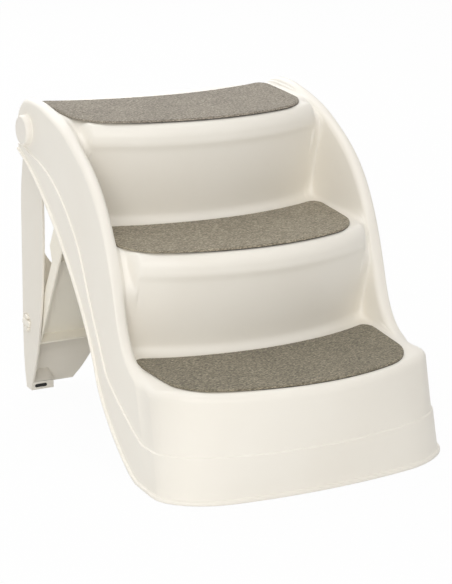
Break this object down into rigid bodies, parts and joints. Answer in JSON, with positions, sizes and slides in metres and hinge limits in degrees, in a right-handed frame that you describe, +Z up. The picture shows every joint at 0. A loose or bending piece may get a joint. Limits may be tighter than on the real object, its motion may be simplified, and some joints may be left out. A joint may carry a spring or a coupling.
{
  "type": "folding pet stairs",
  "caption": "Cream plastic pet stairs with carpeted, bowed steps, swept side wings and a folding rear leg with a brace.",
  "frame": {"origin": "bottom centre of the bounding box, on the floor", "axes": "+Z up, +Y from the front step towards the rear leg, +X to the right of someone who faces the steps"},
  "size_m": [0.397, 0.49, 0.3979],
  "materials": {
    "plastic": "satin",
    "carpet": "matte",
    "backing": "matte",
    "steel": "satin",
    "foot_rubber": "matte"
  },
  "bodies": {
    "stairs": {"stair_shell": "plastic", "top_mat": "carpet", "middle_mat": "carpet", "bottom_mat": "carpet", "top_backing": "backing", "middle_backing": "backing", "bottom_backing": "backing", "left_cap": "plastic", "right_cap": "plastic", "left_pin": "steel", "right_pin": "steel", "left_clip_ring": "steel", "right_clip_ring": "steel"},
    "leg": {"rear_leg": "plastic", "left_leg_foot": "foot_rubber", "right_leg_foot": "foot_rubber"},
    "brace_body": {"brace": "plastic", "left_brace_pin": "plastic", "right_brace_pin": "plastic"}
  },
  "joints": [
    {"name": "leg_fold", "type": "hinge", "parent": "stairs", "child": "leg", "pos_m": [0, 0.205, 0.358], "axis": [-1, 0, 0], "range_deg": [0, 46]},
    {"name": "brace_fold", "type": "hinge", "parent": "leg", "child": "brace_body", "pos_m": [0, 0.2305, 0.092], "axis": [-1, 0, 0], "range_deg": [0, 27.6]}
  ],
  "couplings": [
    {"joint": "brace_fold", "follows": "leg_fold", "ratio": 0.6}
  ]
}
